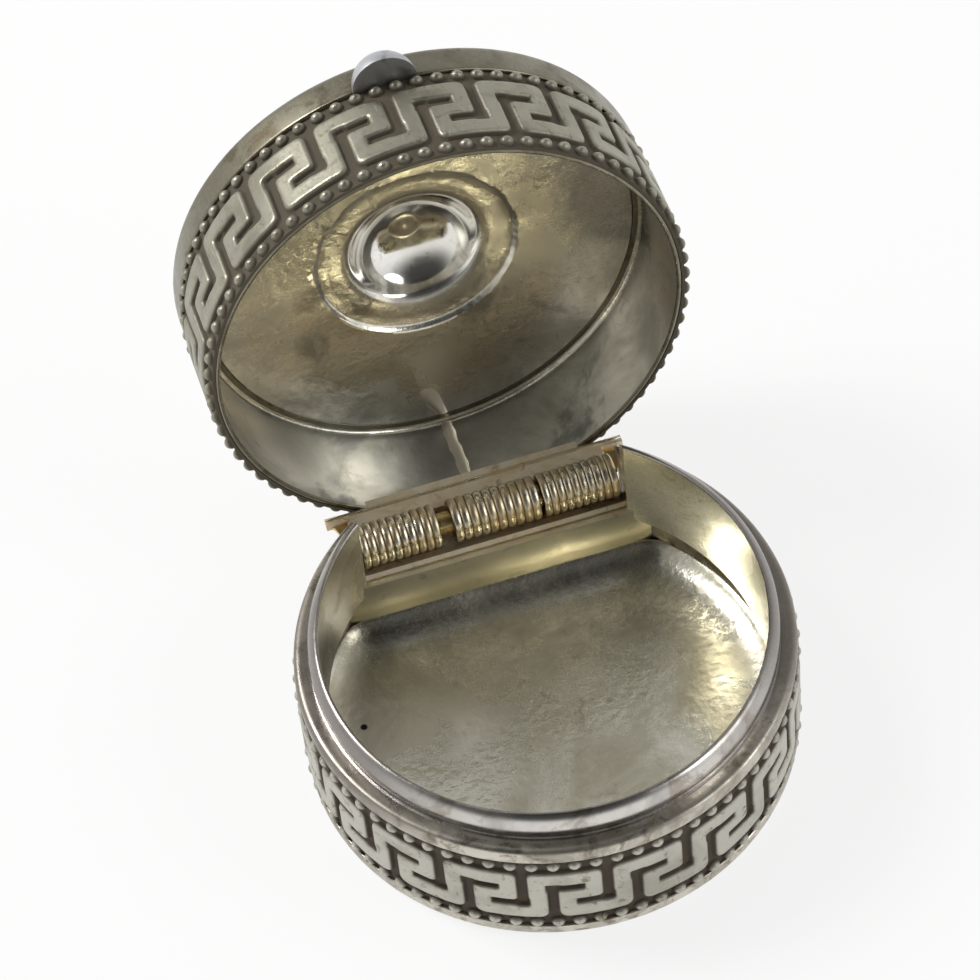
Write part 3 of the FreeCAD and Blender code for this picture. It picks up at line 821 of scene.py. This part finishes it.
add_piece("worked_strip_lid", opened(strip(LID_FOOT, LID_KEY, 0, 0)), "lid", ["lid_strip"],
          [LID_WORKED_IN_PAINTED_SHADE], 60)
wall_outline = rounded([(LID_BORE_R, LID_FOOT, 0.12), (WALL_R, LID_FOOT, 0.12), (WALL_R, LID_WALL_TOP, 0),
                        (LID_BORE_R, LID_WALL_TOP, 0)])
lid_wall = turned(wall_outline, finish=lambda a, b: int(max(a[1], b[1]) < LID_FOOT + 0.2))
add_piece("lid_wall_sheet", opened(lid_wall), "lid", ["lid_wall"], [LID_WALL, RIM])
rim_outline = rounded([(BEZEL_R, LID_WALL_TOP, 0.1), (RIM_R, LID_WALL_TOP, 0.2), (RIM_R, LID_RIM_TOP, 0.6),
                       (BEZEL_R, LID_RIM_TOP, 0.25)], 6)
add_piece("lid_plain_rim", opened(turned(rim_outline)), "lid", ["lid_rim"], [RIM])
add_piece("stamped_top", opened(stamped_top()), "lid", ["lid_top"], [LID_INSIDE, BOSS])
fillet = [(13.74, LID_WALL_TOP), (13.87, 15.61), (13.96, 15.52), (14.0, 15.38), (14.0, LID_WALL_TOP)]
add_piece("solder_fillet", opened(turned(fillet)), "lid", [], [LID_INSIDE])
add_piece("domed_plaque", opened(turned(plaque_outline())), "lid", ["lid_plaque"], [ENAMEL])
add_piece("thumb_dome", opened(thumbpiece()), "lid", ["thumbpiece"], [THUMB_PAINTED_HIGHLIGHT])
add_piece("solder_seam", opened(seam()), "lid", [], [SEAM])
dress_node("lid_hinge_leaf", LEAF, 0.08)
add_piece("leaf_lip", opened(leaf_lip()), "lid", [], [LIP])
add_piece("leaf_webs", opened(leaf_webs()), "lid", [], [BRASS])


# Stage, light and camera

def pale_floor(half=3.0, whiteness=0.82):
    """Plain pale floor, its half width in m, whiter to the camera and in reflections."""
    mesh = bpy.data.meshes.new("pale floor")
    mesh.from_pydata([(-half, -half, 0), (half, -half, 0), (half, half, 0), (-half, half, 0)], [], [(0, 1, 2, 3)])
    floor = bpy.data.objects.new("pale floor", mesh)
    finish, tree, skin = new_finish("floor paper", 0.0)
    skin.inputs["Base Color"].default_value = (0.93, 0.93, 0.92, 1)
    skin.inputs["Roughness"].default_value = 0.9
    rays = put(tree, "ShaderNodeLightPath").outputs
    seen = math_node(tree, "MAXIMUM", rays["Is Camera Ray"],
                     math_node(tree, "MAXIMUM", rays["Is Glossy Ray"], rays["Is Transmission Ray"]))
    white = put(tree, "ShaderNodeEmission", {"Color": (1, 1, 1, 1), "Strength": 1.0})
    mix = put(tree, "ShaderNodeMixShader", {0: math_node(tree, "MULTIPLY", seen, whiteness), 1: skin.outputs[0],
                                            2: white.outputs[0]})
    tree.links.new(mix.outputs[0], tree.nodes["Material Output"].inputs[0])
    mesh.materials.append(finish)
    bpy.context.scene.collection.objects.link(floor)


def soft_lamp(name, place, size, power):
    """Large soft lamp aimed at the box; places in mm, power in W."""
    lamp = bpy.data.lights.new(name, "AREA")
    lamp.shape, lamp.size, lamp.energy = "DISK", size * MM, power
    held = bpy.data.objects.new(name, lamp)
    held.location = Vector(place) * MM
    held.rotation_mode = "QUATERNION"
    box_middle = Vector((0, 6, 10))
    held.rotation_quaternion = (box_middle - Vector(place)).to_track_quat("-Z", "Y")
    bpy.context.scene.collection.objects.link(held)


def studio_air():
    """Grey studio, pale near the floor, darker overhead and darkest where the photographer stands."""
    world = bpy.data.worlds.new("studio air")
    world.use_nodes = True
    tree = world.node_tree
    tree.nodes.clear()
    coords = put(tree, "ShaderNodeTexCoord").outputs["Generated"]
    way = put(tree, "ShaderNodeSeparateXYZ", {0: coords})
    shade = put(tree, "ShaderNodeMapRange", {0: way.outputs["Z"], 1: 0.0, 2: 0.9, 3: 0.95, 4: 0.42})
    photographer = (-0.123, -0.582, 0.804)
    front = put(tree, "ShaderNodeVectorMath", {0: coords, 1: photographer}, operation="DOT_PRODUCT")
    dark = put(tree, "ShaderNodeMapRange", {0: front.outputs["Value"], 1: 0.55, 2: 0.95, 3: 1.0, 4: 0.12},
               interpolation_type="SMOOTHSTEP")
    overhead = put(tree, "ShaderNodeMapRange", {0: way.outputs["Z"], 1: 0.84, 2: 0.98, 3: 1.0, 4: 0.3},
                   interpolation_type="SMOOTHSTEP")
    shade = math_node(tree, "MULTIPLY", shade.outputs[0], dark.outputs[0])
    shade = math_node(tree, "MULTIPLY", shade, overhead.outputs[0])
    back = put(tree, "ShaderNodeBackground", {"Color": shade, "Strength": 1.0})
    tree.links.new(back.outputs[0], tree.nodes.new("ShaderNodeOutputWorld").inputs[0])
    bpy.context.scene.world = world


def photo_camera():
    """Camera at the photograph's angle, fitted to its frame; lengths in mm and angles in degrees."""
    turn, lift, tilt = (math.radians(v) for v in (-11.92, 53.49, -6.45))
    target, distance = Vector((-1.35, 4.13, 18.85)), 256.7
    focal_px, frame_px = 4500, 980
    back = Vector((math.sin(turn) * math.cos(lift), -math.cos(turn) * math.cos(lift), math.sin(lift)))
    right = (-back).cross(Vector((0, 0, 1))).normalized()
    up = right.cross(-back)
    across = right * math.cos(tilt) + up * math.sin(tilt)
    upright = up * math.cos(tilt) - right * math.sin(tilt)
    lens = bpy.data.cameras.new("photo camera")
    lens.sensor_width = 36.0
    lens.lens = lens.sensor_width * focal_px / frame_px
    lens.clip_start = 0.01
    camera = bpy.data.objects.new("photo camera", lens)
    facing = Matrix((across, upright, back)).transposed().to_4x4()
    camera.matrix_world = Matrix.Translation((target + back * distance) * MM) @ facing
    bpy.context.scene.collection.objects.link(camera)
    bpy.context.scene.camera = camera


pale_floor()
soft_lamp("window", (-330, 260, 420), 260, 2.4)
soft_lamp("fill", (360, -200, 330), 300, 0.5)
studio_air()
photo_camera()
bpy.context.scene.view_settings.view_transform = "Standard"
